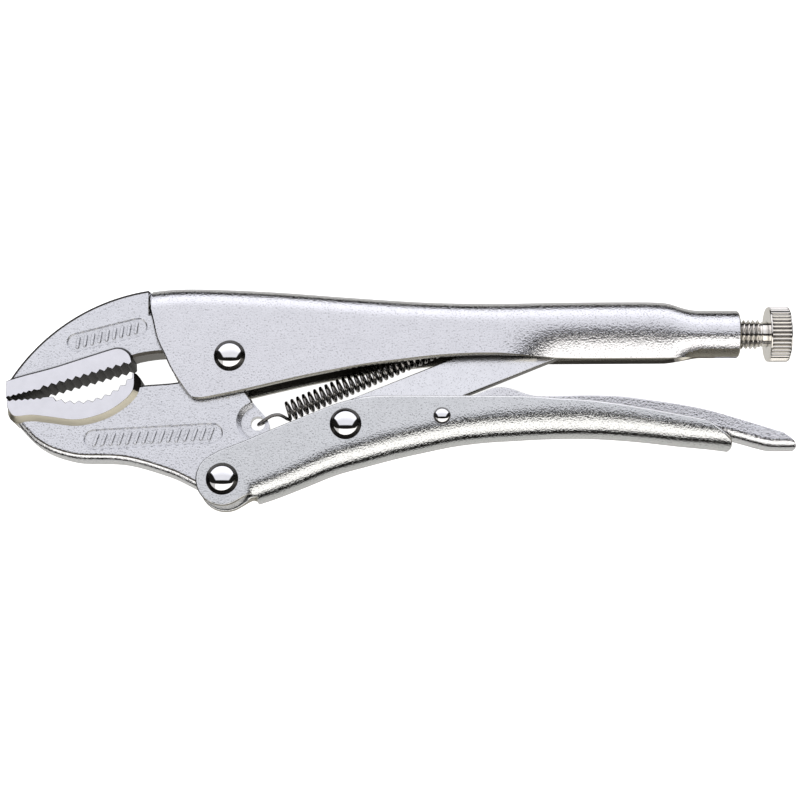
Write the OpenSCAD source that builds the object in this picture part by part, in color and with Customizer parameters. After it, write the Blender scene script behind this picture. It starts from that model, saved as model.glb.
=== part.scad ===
// Locking pliers, 250 mm class, lying on one side.
// Drawn about the middle plane of the tool, then set down on its lower rivet heads.
// +X runs from the jaw tips to the adjusting screw, +Y towards the upper handle, +Z is the thickness.

/* [Jaws] */
// Thickness of the forged jaws
jaw_t = 11; // [10:0.2:11.2]
// Thickness across the ground gripping pads
pad_t = 14; // [12:0.5:15]
// Coarse teeth along each pad
coarse_teeth = 11; // [6:1:14]
// Depth of the coarse teeth
tooth_depth = 1; // [0.5:0.1:1.3]
// Fine teeth at each jaw tip
fine_teeth = 6; // [3:1:8]
// Thickness of the spring tab behind the lower jaw
tab_t = 4; // [3:0.5:4]

/* [Handles] */
// Sheet thickness of the two folded handles
sheet = 2.5; // [2:0.1:2.6]
// Clear width inside the handles
channel_w = 11.6; // [11.6:0.1:12.4]
// Outer diameter of the threaded tube
tube_d = 15; // [14:0.5:16]
// Width of the release lever
release_w = 10.6; // [9:0.2:10.8]
// Sheet thickness of the release lever
release_sheet = 1.6; // [1.2:0.1:2]
// Thickness of the toggle link
link_t = 5.5; // [4:0.5:7]

/* [Rivets] */
// Shank diameter of the three large rivets
rivet_d = 6.5; // [5:0.5:7]
// Head diameter of the three large rivets
rivet_head_d = 10; // [9:0.5:11]
// How far each rivet head stands off its handle
rivet_head_h = 2.5; // [1.6:0.1:2.8]
// Shank diameter of the release lever's rivet
small_rivet_d = 3.4; // [3:0.1:4]
// Head diameter of the release lever's rivet
small_head_d = 5.6; // [5:0.2:6.4]
// How far the release lever's rivet heads stand off the handle
small_head_h = 1.3; // [0.8:0.1:1.6]

/* [Adjusting screw] */
// Outer diameter of the thread
screw_d = 9.5; // [9:0.1:9.7]
// Thread pitch
pitch = 1.5; // [1:0.25:2]
// Diameter over the knurl
knob_d = 17.8; // [16:0.2:19]
// Number of knurl ridges
knob_ridges = 44; // [30:2:52]

/* [Spring] */
// Wire diameter
wire_d = 1.2; // [0.8:0.1:1.3]
// Mean diameter of the coil
coil_d = 5.7; // [4.5:0.1:6]
// Number of turns
turns = 27; // [20:1:28]

/* [Hidden] */

// Circles of bores, pins and turned parts
$fn = 64;
// Radial running clearance of a pin in its bore, and of a rivet in its own handle
run_fit = 0.05;
set_fit = 0.02;
// Gap kept between parts that pass each other
gap = 0.3;

// Half widths, measured from the middle plane
inner_half = channel_w / 2;
outer_half = inner_half + sheet;
mid_z = outer_half + rivet_head_h;
// From the drawing's zero to the middle of the tool's outline
datum = [0.15, 1.75];

// Pivots, as the tool is drawn when it is locked
main_pivot = [-54.2, 14.4];
lever_pivot = [-55.9, -25.2];
link_pivot = [-17.2, -7.6];
release_pivot = [13.3, -5];
// Where the link's nose bears on the screw
link_nose = [60.5, 23.2];
screw_y = 23.25;

// Silver greys of blasted sheet, forged steel, bright rivets and dark spring wire
sheet_grey = [0.78, 0.78, 0.81];
forged_grey = [0.74, 0.74, 0.76];
bright_grey = [0.88, 0.88, 0.90];
nickel = [0.72, 0.69, 0.64];
dark_wire = [0.22, 0.21, 0.20];

// --- curves ---------------------------------------------------------------------------------

function mix(a, b, t) = a + (b - a) * t;

function spline_at(a, b, c, d, t) =
    0.5 * (2 * b + (c - a) * t + (2 * a - 5 * b + 4 * c - d) * t * t + (3 * b - a - 3 * c + d) * t * t * t);

// A smooth run through hand-chosen points, n steps to each stretch
function smooth(p, n = 5) = [
    for (i = [0:len(p) - 2])
        for (s = [0:n - 1])
            spline_at(p[max(i - 1, 0)], p[i], p[i + 1], p[min(i + 2, len(p) - 1)], s / n),
    p[len(p) - 1]
];

function arc(c, r, a0, a1, n = 12) = [for (i = [0:n]) let (a = mix(a0, a1, i / n)) c + r * [cos(a), sin(a)]];

function unit(v) = v / norm(v);

// Teeth on a straight line: tips on the line, notches set off to the left of it
function teeth(a, b, count, depth) =
    let (n = unit([a.y - b.y, b.x - a.x]))
    [for (i = [0:count - 1]) for (s = [0, 1]) mix(a, b, (i + s / 2) / count) + s * depth * n, b];

// Teeth round an arc: tips on the arc, notches outside it
function arc_teeth(c, r, a0, a1, count, depth) = [
    for (i = [0:count - 1])
        for (s = [0, 1])
            let (a = mix(a0, a1, (i + s / 2) / count)) c + (r + s * depth) * [cos(a), sin(a)],
    c + r * [cos(a1), sin(a1)]
];

// --- solids shared by several parts -----------------------------------------------------------

// Stands a part drawn about the middle plane on its lower rivet heads
module set_down() {
    translate([-datum.x, -datum.y, mid_z]) children();
}

module plate(points, thickness) {
    translate([0, 0, -thickness / 2])
        linear_extrude(thickness) polygon(points);
}

module bore(at, d) {
    translate([at.x, at.y, -20]) cylinder(h = 40, d = d);
}

// A closed skin over rings of equal count. Point i of a ring lies across the sheet or wire from the
// i-th point counted from the end, so quads between such pairs close each end.
module loft(rings) {
    n = len(rings[0]);
    last = (len(rings) - 1) * n;
    sides = [
        for (j = [0:len(rings) - 2])
            for (i = [0:n - 1])
                let (k = (i + 1) % n, here = j * n, next = here + n)
                each [[here + i, here + k, next + k], [here + i, next + k, next + i]]
    ];
    pairs = [for (i = [0:n / 2 - 2]) [i, i + 1, n - 2 - i, n - 1 - i]];
    front_cap = [for (q = pairs) [q[3], q[2], q[1], q[0]]];
    rear_cap = [for (q = pairs) [for (i = q) last + i]];
    polyhedron([for (ring = rings) each ring], concat(sides, front_cap, rear_cap), convexity = 10);
}

// Half of a folded channel's middle line: from its free edge up a wall and round a corner to the crown.
// The wall leans in to half width foot at the free edge.
wall_steps = 3;
corner_steps = 5;
function channel_half(edge, crown, half, foot, radius) = concat(
    [for (i = [0:wall_steps - 1])
        let (t = i / wall_steps) [mix(foot, half, 1 - (1 - t) * (1 - t)), mix(edge, crown - radius, t)]],
    [for (i = [0:corner_steps]) let (a = 90 * i / corner_steps)
        [half - radius + radius * cos(a), crown - radius + radius * sin(a)]]
);

// Half of a rolled tube's middle line, from the closed seam round to the crown
seam_angle = 2;
crown_angle = 8;
function tube_half(centre, radius) =
    let (n = wall_steps + corner_steps)
    [for (i = [0:n])
        let (a = mix(-90 + seam_angle, 90 - crown_angle, i / n)) [radius * cos(a), centre + radius * sin(a)]];

// A sheet of even thickness along a half line, mirrored into a whole section
function normal_at(p, i) =
    let (d = unit(p[min(i + 1, len(p) - 1)] - p[max(i - 1, 0)])) [d.y, -d.x];
function section(half_line, thickness, crown_up = true) =
    let (
        n = len(half_line),
        outer = [for (i = [0:n - 1]) half_line[i] + thickness / 2 * normal_at(half_line, i)],
        inner = [for (i = [0:n - 1]) half_line[i] - thickness / 2 * normal_at(half_line, i)],
        ring = concat(
            outer,
            [for (i = [n - 1:-1:0]) [-outer[i].x, outer[i].y]],
            [for (i = [0:n - 1]) [-inner[i].x, inner[i].y]],
            [for (i = [n - 1:-1:0]) inner[i]]
        )
    )
    crown_up ? ring : [for (i = [len(ring) - 1:-1:0]) [ring[i].x, -ring[i].y]];

// --- outlines ---------------------------------------------------------------------------------

// Upper jaw: the nose is one arc, which the folded handle then covers
nose_centre = [-71, -25];
nose_r = 62.4;
lobe_r = 8.6;
handle_front = -80;
tang_top = 29;
tang_end = -44;

upper_pad = concat(
    teeth([-125.1, 0.8], [-115.3, 3.4], fine_teeth, 0.5),
    teeth([-114.3, 3.6], [-86.4, 11.8], coarse_teeth, tooth_depth),
    smooth([[-85.5, 12.6], [-86.2, 14.8], [-87.7, 16.3], [-89.7, 17], [-92.2, 16.6]]),
    [[-100.2, 14], [-110.2, 10.7], [-119.3, 8.2], [-125.2, 6.4]]
);

upper_body = concat(
    [[-124.4, 3]],
    arc(nose_centre, nose_r, 149.3, 98.4, 24),
    [[handle_front, tang_top], [tang_end, tang_top], [tang_end, main_pivot.y + 9]],
    arc(main_pivot, lobe_r + gap + 0.1, 58, 178, 18),
    smooth([[-72, 15], [-76, 16], [-84, 14.9], [-90, 12.5]], 3)
);

// Lower jaw: body, hinge lobe, lever lobe, and a thin tab for the spring
lever_lobe_r = 7.8;
spring_hole = [-45.4, -6.4];
recess_r = 6.3;

lower_pad = concat(
    teeth([-113.3, 1.2], [-124.8, 0.4], fine_teeth, 0.5),
    smooth([[-124.4, -1.8], [-121.7, -4.4], [-116.2, -3.4], [-110.2, -4.6], [-102.2, -5.5], [-94.2, -3.6],
            [-88.2, -0.2], [-84.8, 3.7], [-84.6, 9]]),
    arc_teeth([-102.8, 22.1], 22, 323.5, 250.5, coarse_teeth - 1, tooth_depth)
);

lower_body = concat(
    smooth([[-84, 4.5], [-82, 5.4], [-71, 6.4], [-65.5, 8.6]], 3),
    arc(main_pivot, lobe_r, 196, -10, 30),
    [[-47.3, 1.5], [-47.7, -14]],
    arc(lever_pivot, lever_lobe_r, 20, -160, 24),
    smooth([[-70, -23.6], [-74, -21.8], [-83, -18.8], [-90, -17.4], [-100, -17.3], [-104.5, -16.6],
            [-110.5, -14.8], [-115.5, -12.2], [-118.5, -9.9], [-121, -6.5], [-124, -2]])
);

tab = concat(
    [[-52, -14], [-52, 0.6], [-47.2, 0.6]],
    smooth([[-45, -1.9], [-42.4, -5], [-41.6, -8], [-43, -11.5], [-47, -14]], 4)
);

// Upper handle: crown and free edge by distance along the tool, and the section's other sizes
handle_end = 108.3;
tube_start = 94;
crown_line = smooth([[-80, 36.2], [-72, 36.9], [-60, 36.9], [-40, 36], [-20, 34.6], [0, 33.2], [13, 32.6],
                     [30, 32.5], [50, 32.9], [70, 33], [80, 32.9], [88, 32], [94, 31.1], [100, 30.8], [109, 30.8]]);
edge_line = smooth([[-80, 31.5], [-79, 26], [-77.5, 20], [-75, 14.8], [-73, 10.5], [-70.5, 6.5], [-68, 2.6],
                    [-66, 0.9], [-63.5, 0.5], [-60, 1], [-50, 3.1], [-40, 5.5], [-30, 7.8], [-20, 9.8],
                    [-10, 11.6], [0, 12.9], [10, 14.1], [20, 14.8], [30, 15], [50, 14.7], [80, 14.8], [109, 15]], 4);
corner_line = [[-80, 7], [5, 7], [50, 7.6], [109, 7.6]];
foot_line = [[-80, outer_half], [30, outer_half], [55, 5.8], [109, 5.8]];
half_line = [[-80, outer_half], [80, outer_half], [tube_start, tube_d / 2], [109, tube_d / 2]];
close_line = [[-80, 0], [80, 0], [86, 0.35], [tube_start, 1], [109, 1]];
handle_stations = concat(
    [-80, -79.5, -79, -78.3, -77.5, -76.5, -75.5, -74.5, -73.5, -72, -70.5, -69.5, -68.5, -67.5, -66.5, -65.5],
    [for (x = [-64:4:80]) x],
    [for (x = [82:2:108]) x],
    [handle_end]
);

// Lower handle: web and walls behind the ears, drawn with its web down
ear_r = 8.4;
web_start = -45.4;
lower_end = 104.6;
web_line = smooth([[-46, -31.2], [-39.6, -29.1], [-30, -25.3], [-20.6, -21.5], [-11, -18.8], [-1.6, -16.3],
                   [8, -14.1], [17.4, -12.2], [27, -11], [36, -10.4], [48, -9.8], [60, -9.7], [70, -10.2],
                   [79, -11], [88.6, -12], [98, -12.8], [106, -13.8]]);
top_line = smooth([[-60, -17.3], [-50, -13.4], [-40, -9.1], [-30, -5], [-20, -1], [-12, 1], [-5, 1.6], [10, 1.6],
                   [30, 1.5], [40, 1.4], [50, 0.7], [60, 0.1], [70, -1.2], [80, -2.9], [90, -4.8], [96, -5.9],
                   [100, -7.1], [102, -8.7], [104, -11.2], [106, -13.4]], 4);
lower_corner = 6.2;
lower_stations = concat([web_start], [for (x = [-44:4:96]) x], [98, 99.5, 101, 102, 103, 103.8, lower_end]);

// Release lever: a channel with its web down, nested in the lower handle, its walls leaning in over the hump
release_start = 9;
release_end = 125;
release_web = smooth([[8, -9.8], [17, -9.1], [27, -8], [36, -7.6], [50, -6.8], [60, -6.7], [70, -7.3], [79, -8],
                      [88.6, -9], [98, -9.9], [104, -10.6], [110, -12], [115, -13.4], [118.5, -13.9], [126, -13.9]]);
release_top = smooth([[8, -2], [10, -0.6], [13, 0], [17, 0.2], [20, 0.9], [24, 2.4], [27, 3.6], [30, 4.6],
                      [33, 4.8], [36, 4.2], [40, 2.8], [44, 2], [50, 2], [60, 2.2], [70, 1.9], [79, 0.8],
                      [88.6, -0.6], [98, -2.5], [107, -5.1], [115, -7.6], [121.5, -9.8], [123, -11], [126, -13]], 4);
release_lean = [[8, 0], [18, 0], [27, 1.2], [45, 1.2], [60, 1.6], [126, 1.8]];
release_stations = concat([for (x = [release_start:2:45]) x], [for (x = [48:4:120]) x], [121.5, 123, 124, release_end]);

// Toggle link: a bar whose bore sits a little below its middle, narrowing to a round nose
link_dir = [cos(22.2), sin(22.2)];
link_side = [-link_dir.y, link_dir.x];
link_half = 6.35;
link_front = link_pivot + 1.55 * link_side;
nose_end_r = 4.5;
link_outline = concat(
    arc(link_front, link_half, 112.2, 292.2, 20),
    [link_front + 78 * link_dir - link_half * link_side],
    arc(link_nose, nose_end_r, -62, 100, 14),
    [link_front + 66 * link_dir + link_half * link_side]
);

// --- the main frame: upper handle and fixed jaw -----------------------------------------------

function upper_section(x) =
    let (
        crown = lookup(x, crown_line) - sheet / 2,
        half = lookup(x, half_line) - sheet / 2,
        edge = min(lookup(x, edge_line), crown - 4),
        folded = channel_half(edge, crown, half, lookup(x, foot_line) - sheet / 2,
                              min(lookup(x, corner_line) - sheet / 2, half, crown - edge - 0.3)),
        rolled = tube_half(screw_y, tube_d / 2 - sheet / 2),
        t = lookup(x, close_line)
    )
    section([for (i = [0:len(folded) - 1]) mix(folded[i], rolled[i], t)], sheet);

module upper_handle() {
    color(sheet_grey)
        set_down()
            difference() {
                loft([for (x = handle_stations) [for (p = upper_section(x)) [x, p.y, p.x]]]);
                bore(main_pivot, rivet_d + 2 * set_fit);
            }
}

module upper_jaw() {
    color(forged_grey)
        set_down() {
            plate(upper_pad, pad_t);
            plate(upper_body, jaw_t);
            intersection() {
                plate(upper_body, channel_w);
                translate([handle_front + 9, 10, -inner_half]) cube([40, 30, channel_w]);
            }
        }
}

// A rivet with a domed head outside each wall of a handle
module rivet(at, shank, head, height) {
    head_r = head / 2;
    flat_r = head / 5;
    dome = [for (i = [0:8]) let (a = 90 * i / 8)
        [flat_r + (head_r - flat_r) * cos(a), outer_half + height * sin(a)]];
    half = concat([[shank / 2, 0], [shank / 2, outer_half]], dome, [[0, outer_half + height], [0, 0]]);
    set_down()
        translate([at.x, at.y, 0])
            for (side = [0, 1])
                mirror([0, 0, side]) rotate_extrude() polygon(half);
}

module main_rivet() {
    color(bright_grey) rivet(main_pivot, rivet_d, rivet_head_d, rivet_head_h);
}

// Lug welded under the handle's crown, which holds the spring's rear hook
anchor_hole = [22.8, 23.7];
anchor_t = 2.5;
module spring_anchor() {
    top = lookup(anchor_hole.x, crown_line) - sheet - 0.05;
    outline = concat([[16, top], [30, top]], arc(anchor_hole, 3.4, -20, -160, 12));
    color(sheet_grey)
        set_down()
            difference() {
                plate(outline, anchor_t);
                bore(anchor_hole, 3.6);
            }
}

// --- the moving jaw ---------------------------------------------------------------------------

module lower_jaw() {
    color(forged_grey)
        set_down()
            difference() {
                union() {
                    difference() {
                        plate(lower_body, jaw_t);
                        bore(spring_hole, 2 * recess_r);
                    }
                    plate(lower_pad, pad_t);
                    plate(tab, tab_t);
                }
                bore(main_pivot, rivet_d + 2 * run_fit);
                bore(lever_pivot, rivet_d + 2 * run_fit);
                bore(spring_hole, 4.6);
            }
}

// --- the lower handle and what is riveted to it -----------------------------------------------

function lower_section(x) =
    let (web = lookup(x, web_line) + sheet / 2, edge = max(lookup(x, top_line), web + lower_corner + 0.5))
    section(channel_half(-edge, -web, outer_half - sheet / 2, outer_half - sheet / 2, lower_corner - sheet / 2),
            sheet, false);

ear = concat(
    arc(lever_pivot, ear_r, 118, 300, 24),
    smooth([[-50, -31.2], [-47.5, -29.7], [-46, -30.2], [web_start + 1, -26]], 3),
    [[web_start + 1, -14], [web_start + 1, lookup(web_start + 1, top_line)]],
    [for (x = [-48, -51, -54, -57]) [x, lookup(x, top_line)]]
);

module lower_handle() {
    color(sheet_grey)
        set_down()
            difference() {
                union() {
                    loft([for (x = lower_stations) [for (p = lower_section(x)) [x, p.y, p.x]]]);
                    for (side = [0, 1])
                        mirror([0, 0, side]) translate([0, 0, inner_half]) linear_extrude(sheet) polygon(ear);
                }
                for (at = [lever_pivot, link_pivot])
                    bore(at, rivet_d + 2 * set_fit);
                bore(release_pivot, small_rivet_d + 2 * set_fit);
            }
}

module lever_rivet() {
    color(bright_grey) rivet(lever_pivot, rivet_d, rivet_head_d, rivet_head_h);
}

module link_rivet() {
    color(bright_grey) rivet(link_pivot, rivet_d, rivet_head_d, rivet_head_h);
}

module release_rivet() {
    color(bright_grey) rivet(release_pivot, small_rivet_d, small_head_d, small_head_h);
}

// --- linkage ----------------------------------------------------------------------------------

module toggle_link() {
    color(sheet_grey)
        set_down()
            difference() {
                union() {
                    plate(link_outline, link_t);
                    translate([link_pivot.x, link_pivot.y, -jaw_t / 2]) cylinder(h = jaw_t, d = 11.6);
                }
                bore(link_pivot, rivet_d + 2 * run_fit);
            }
}

function release_section(x) =
    let (
        half = (release_w - release_sheet) / 2,
        web = lookup(x, release_web) + release_sheet / 2,
        edge = max(lookup(x, release_top), web + 3.2)
    )
    section(channel_half(-edge, -web, half, half - lookup(x, release_lean), 2.4), release_sheet, false);

module release_lever() {
    color(sheet_grey)
        set_down()
            difference() {
                loft([for (x = release_stations) [for (p = release_section(x)) [x, p.y, p.x]]]);
                bore(release_pivot, small_rivet_d + 2 * run_fit);
            }
}

// --- adjusting screw --------------------------------------------------------------------------

// Stations of the screw along X
point_tip = 67.9;
point_end = 73;
thread_start = 74;
thread_end = 116.5;
knob_start = 118.4;
knob_end = 125.3;

// A turned part: radius and length pairs, revolved about the screw's axis
module turned(profile) {
    set_down()
        translate([0, screw_y, 0]) rotate([0, 90, 0]) rotate_extrude() polygon(profile);
}

module screw_point() {
    color(nickel)
        turned([[0, point_tip], [2.6, point_tip], [3.6, point_tip + 1], [3.6, point_end], [0, point_end]]);
}

module adjusting_screw() {
    crest = screw_d / 2;
    root = crest - 0.62 * pitch;
    threads = floor((thread_end - thread_start) / pitch);
    ridges = [for (i = [0:threads - 1]) for (s = [0, 1])
        [s == 0 ? root : crest, thread_start + (i + s / 2) * pitch]];
    color(nickel)
        turned(concat([[0, point_end], [3.6, point_end]], ridges,
                      [[root, thread_end], [4, thread_end + 0.5], [4, knob_start], [0, knob_start]]));
}

module screw_head() {
    rim_r = knob_d / 2 - 0.8;
    round_r = 1.4;
    knurl_from = 119.4;
    knurl_to = 124;
    knurl = [for (i = [0:knob_ridges - 1]) for (s = [0, 1])
        let (a = 360 * (i + s / 2) / knob_ridges, r = knob_d / 2 - (s == 0 ? 0 : 0.5)) r * [cos(a), sin(a)]];
    color(nickel) {
        turned(concat([[0, knob_start]], arc([rim_r - round_r, knob_start + round_r], round_r, -90, 0, 6),
                      arc([rim_r - round_r, knob_end - round_r], round_r, 0, 90, 6), [[0, knob_end]]));
        set_down()
            translate([knurl_from, screw_y, 0])
                rotate([0, 90, 0]) linear_extrude(knurl_to - knurl_from) polygon(knurl);
    }
}

// --- spring -----------------------------------------------------------------------------------

coil_steps = 10;
coil_sides = 6;
spring_dir = [cos(23.8), sin(23.8), 0];
spring_side = [-spring_dir.y, spring_dir.x, 0];
spring_start = [-36.2, -2.3, 0];
coil_pitch = 1.98;
coil_len = turns * coil_pitch;

function on_spring(u, v, w) = spring_start + u * spring_dir + v * spring_side + [0, 0, w];

// A hook beyond one end of the coil: distance out, height over the axis, distance from the middle plane
hook = [[0.9, -2.3, 1.6], [2.6, -0.5, 2.9], [5, 0.2, 3.2], [7.8, -0.1, 2.9], [9.4, -0.2, 1.6], [10, -0.1, 0],
        [9.7, 0.1, -1.6], [8.6, 0.4, -3], [7, 0.7, -3.2]];
function hook_path(sign, base) = [for (p = smooth(hook, 2)) on_spring(base + sign * p.x, p.y, p.z)];

coil = [for (i = [0:turns * coil_steps])
    let (a = 180 + 360 * i / coil_steps)
    on_spring(coil_len * i / (turns * coil_steps), coil_d / 2 * cos(a), -coil_d / 2 * sin(a))];
front_hook = hook_path(-1, 0);
rear_hook = hook_path(1, coil_len);
wire_path = concat([for (i = [len(front_hook) - 1:-1:0]) front_hook[i]], coil, rear_hook);

// A wire of even section along a path, its frame carried along without twist
module wire(path, d, sides) {
    n = len(path);
    along = [for (i = [0:n - 1]) unit(path[min(i + 1, n - 1)] - path[max(i - 1, 0)])];
    across = [for (i = 0, v = cross(along[0], [0, 0, 1]); i < n;
                   i = i + 1, v = i < n ? v - (v * along[i]) * along[i] : v) unit(v)];
    loft([for (i = [0:n - 1])
        [for (k = [0:sides - 1])
            let (a = 360 * k / sides)
            path[i] + d / 2 * (cos(a) * across[i] - sin(a) * cross(along[i], across[i]))]]);
}

module tension_spring() {
    color(dark_wire) set_down() wire(wire_path, wire_d, coil_sides);
}

upper_handle();
upper_jaw();
main_rivet();
spring_anchor();
lower_jaw();
lower_handle();
lever_rivet();
link_rivet();
release_rivet();
toggle_link();
release_lever();
screw_point();
adjusting_screw();
screw_head();
tension_spring();
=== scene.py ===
"""Locking pliers of the 250 mm class, lying on one side: the finished surfaces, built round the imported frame.

Shapes are drawn in millimetres about the tool's middle plane, as the CAD model is: x runs from the jaw
tips to the adjusting screw, y towards the upper handle and z through the thickness.
"""
from math import cos, pi, radians, sin, tan

import bmesh
import bpy
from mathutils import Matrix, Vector


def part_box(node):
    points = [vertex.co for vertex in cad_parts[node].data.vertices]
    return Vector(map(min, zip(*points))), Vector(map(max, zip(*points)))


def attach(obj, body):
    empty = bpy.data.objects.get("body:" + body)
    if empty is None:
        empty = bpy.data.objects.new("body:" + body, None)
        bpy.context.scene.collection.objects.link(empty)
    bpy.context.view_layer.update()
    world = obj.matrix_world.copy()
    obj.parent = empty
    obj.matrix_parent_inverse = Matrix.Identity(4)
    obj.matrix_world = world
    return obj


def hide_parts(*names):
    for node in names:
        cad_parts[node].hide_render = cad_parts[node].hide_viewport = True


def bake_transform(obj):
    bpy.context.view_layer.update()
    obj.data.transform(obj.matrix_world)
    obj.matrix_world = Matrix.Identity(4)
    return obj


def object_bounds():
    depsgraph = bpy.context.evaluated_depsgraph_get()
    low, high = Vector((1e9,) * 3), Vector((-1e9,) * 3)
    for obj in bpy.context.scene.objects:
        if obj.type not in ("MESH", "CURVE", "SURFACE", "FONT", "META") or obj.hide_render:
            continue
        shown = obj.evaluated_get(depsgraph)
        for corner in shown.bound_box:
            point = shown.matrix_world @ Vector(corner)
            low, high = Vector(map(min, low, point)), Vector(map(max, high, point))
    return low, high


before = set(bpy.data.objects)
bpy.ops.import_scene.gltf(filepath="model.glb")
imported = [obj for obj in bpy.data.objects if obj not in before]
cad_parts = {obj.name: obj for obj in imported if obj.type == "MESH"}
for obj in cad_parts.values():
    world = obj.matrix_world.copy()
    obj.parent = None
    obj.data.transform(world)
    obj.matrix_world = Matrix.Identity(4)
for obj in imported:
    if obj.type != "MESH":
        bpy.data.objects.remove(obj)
cad_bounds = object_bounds()

# --- places --------------------------------------------------------------------------------------

MM = 0.001
MAIN_PIVOT = (-54.2, 14.4)


def centre(node):
    low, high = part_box(node)
    return (low + high) / 2


# The frame's point under the drawing's zero
ZERO = centre("main_rivet") - Vector((*MAIN_PIVOT, 0)) * MM


def drawn(point):
    """A point of the frame, in the drawing's millimetres."""
    return (point - ZERO) / MM


def pivot(node):
    return drawn(centre(node)).to_2d()


def first_corner(node):
    return drawn(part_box(node)[0])


def last_corner(node):
    return drawn(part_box(node)[1])


LEVER_PIVOT = pivot("lever_rivet")
LINK_PIVOT = pivot("link_rivet")
RELEASE_PIVOT = pivot("release_rivet")
SCREW_Y = pivot("adjusting_screw").y
# Half thicknesses of the handles, of the jaws and of the jaws' pads
OUTER = last_corner("lower_handle").z
JAW = 5.5
PAD = last_corner("lower_jaw").z
# Heights of the rivets' heads over the handles
HEAD_H = last_corner("main_rivet").z - OUTER
SMALL_HEAD_H = last_corner("release_rivet").z - OUTER
SHEET = 2.5
HALF_SHEET = SHEET / 2
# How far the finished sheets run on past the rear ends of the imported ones
RUN_ON = 0.8
# Half height of a cutter that goes right through
THROUGH = 20

# --- camera --------------------------------------------------------------------------------------

TILT = radians(11.3)
DISTANCE = 0.612
TARGET = ZERO + Vector((0, 0, OUTER)) * MM
camera = bpy.data.objects.new("camera", bpy.data.cameras.new("camera"))
bpy.context.scene.collection.objects.link(camera)
camera.location = TARGET + DISTANCE * Vector((0, -sin(TILT), cos(TILT)))
camera.rotation_euler = (TILT, 0, 0)
camera.data.lens = 87
camera.data.clip_start = 0.01
bpy.context.scene.camera = camera
bpy.context.scene.view_settings.view_transform = "Standard"

# --- curves --------------------------------------------------------------------------------------


def mix(a, b, t):
    return a + (b - a) * t


def ease(t):
    t = min(max(t, 0), 1)
    return t * t * (3 - 2 * t)


def smooth(points, n=5):
    """A smooth run through given points, n steps to each stretch."""
    points = [Vector(p) for p in points]
    run = []
    for i in range(len(points) - 1):
        a, b, c, d = (points[min(max(i + k, 0), len(points) - 1)] for k in (-1, 0, 1, 2))
        for s in range(n):
            t = s / n
            run.append(0.5 * (2 * b + (c - a) * t + (2 * a - 5 * b + 4 * c - d) * t**2
                              + (3 * b - a - 3 * c + d) * t**3))
    return run + [points[-1]]


def heading(a):
    """A step of one millimetre at an angle."""
    return Vector((cos(radians(a)), sin(radians(a))))


def polar(middle, r, a):
    return Vector(middle) + r * heading(a)


def arc(middle, r, a0, a1, n=12):
    return [polar(middle, r, mix(a0, a1, i / n)) for i in range(n + 1)]


def profile(points, n=8):
    """A value along x, from a smooth run through points, or from straight stretches if n is 1."""
    run = smooth(points, n)

    def value(x):
        for a, b in zip(run, run[1:]):
            if x <= b.x:
                break
        return mix(a.y, b.y, min(max((x - a.x) / (b.x - a.x), 0), 1))

    return value


def spaced(a, b, step):
    n = max(1, round(abs(b - a) / step))
    return [mix(a, b, i / n) for i in range(n + 1)]


def lengths_along(run):
    lengths = [0]
    for a, b in zip(run, run[1:]):
        lengths.append(lengths[-1] + (b - a).length)
    return lengths


def at_lengths(run, wanted):
    """The points of a run at rising lengths along it."""
    lengths = lengths_along(run)
    spots = []
    k = 0
    for s in wanted:
        while k < len(run) - 2 and lengths[k + 1] < s:
            k += 1
        spots.append(run[k].lerp(run[k + 1], (s - lengths[k]) / (lengths[k + 1] - lengths[k])))
    return spots


def even(run, n):
    """A run of points spaced evenly along its length, n stretches in all."""
    total = lengths_along(run)[-1]
    return at_lengths(run, [total * i / n for i in range(n + 1)])


def evened(run, share=1):
    """The same run with its points moved towards even spacing, all the way if share is 1."""
    run = [Vector(p) for p in run]
    lengths = lengths_along(run)
    steps = len(run) - 1
    return at_lengths(run, [mix(s, lengths[-1] * i / steps, share) for i, s in enumerate(lengths)])


# --- mesh work -----------------------------------------------------------------------------------


def piece(name, verts, faces, material=None):
    mesh = bpy.data.meshes.new(name)
    mesh.from_pydata([ZERO + Vector(v) * MM for v in verts], [], faces)
    work = bmesh.new()
    work.from_mesh(mesh)
    bmesh.ops.remove_doubles(work, verts=work.verts, dist=0.001 * MM)
    bmesh.ops.recalc_face_normals(work, faces=work.faces)
    work.to_mesh(mesh)
    work.free()
    if material:
        mesh.materials.append(material)
    obj = bpy.data.objects.new(name, mesh)
    bpy.context.scene.collection.objects.link(obj)
    return obj


def settle(obj):
    """Turns an object's modifiers into plain mesh."""
    graph = bpy.context.evaluated_depsgraph_get()
    mesh = bpy.data.meshes.new_from_object(obj.evaluated_get(graph))
    obj.modifiers.clear()
    old = obj.data
    obj.data = mesh
    bpy.data.meshes.remove(old)
    return obj


def rounded(obj, width, steps=3, angle=50, where=None, clamp=False):
    """Rounds every edge sharper than an angle, or every edge whose middle passes a test. One step makes a
    plain chamfer, and clamp keeps it narrow enough for short edges."""
    bevel = obj.modifiers.new("round", "BEVEL")
    bevel.width = width * MM
    bevel.segments = steps
    bevel.limit_method = "ANGLE"
    bevel.angle_limit = radians(angle)
    bevel.use_clamp_overlap = clamp
    if where:
        bevel.limit_method = "WEIGHT"
        weights = obj.data.attributes.new("bevel_weight_edge", "FLOAT", "EDGE")
        for edge in obj.data.edges:
            ends = [obj.data.vertices[v].co for v in edge.vertices]
            weights.data[edge.index].value = float(where(drawn((ends[0] + ends[1]) / 2)))
    settle(obj)
    if where:
        obj.data.attributes.remove(obj.data.attributes["bevel_weight_edge"])
    return obj


def faced(obj, material, where):
    """Gives another material to the faces whose middle and normal pass a test."""
    obj.data.materials.append(material)
    slot = len(obj.data.materials) - 1
    for face in obj.data.polygons:
        if where(drawn(face.center), face.normal):
            face.material_index = slot
    return obj


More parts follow.
